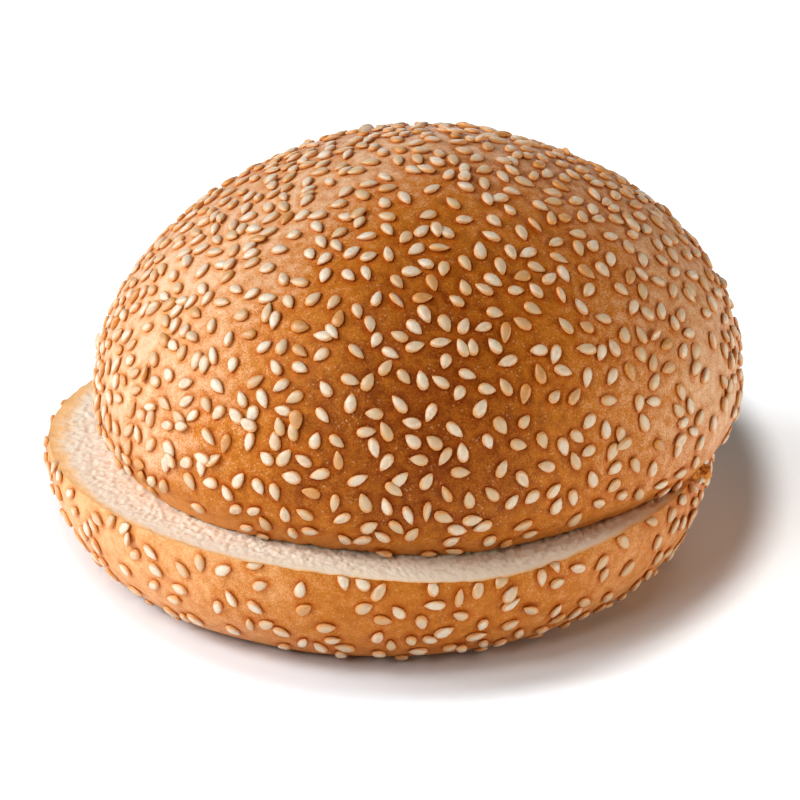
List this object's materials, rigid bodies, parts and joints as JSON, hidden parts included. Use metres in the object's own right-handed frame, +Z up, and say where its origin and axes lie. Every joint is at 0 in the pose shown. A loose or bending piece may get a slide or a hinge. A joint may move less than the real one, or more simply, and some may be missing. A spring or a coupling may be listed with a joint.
{
  "type": "sesame burger bun",
  "caption": "Round bread bun, sliced across into a flat-based heel and a tall domed crown that sits shifted on it, with sesame seeds baked into the crust.",
  "frame": {"origin": "centre of the heel's flat base, the face that the bun rests on", "axes": "+Z up from the base through the crown, -Y towards the side that the picture shows, +X to the right as seen from there, the way the crown has slipped"},
  "size_m": [0.11, 0.1075, 0.0677],
  "materials": {
    "crown_crust": "baked bread crust, golden brown, satin, with ivory sesame seeds",
    "heel_crust": "baked bread crust, light orange brown, satin, with ivory sesame seeds and an off-white crumb on the cut face"
  },
  "bodies": {
    "root": {"crown": "crown_crust", "heel": "heel_crust"}
  },
  "joints": []
}
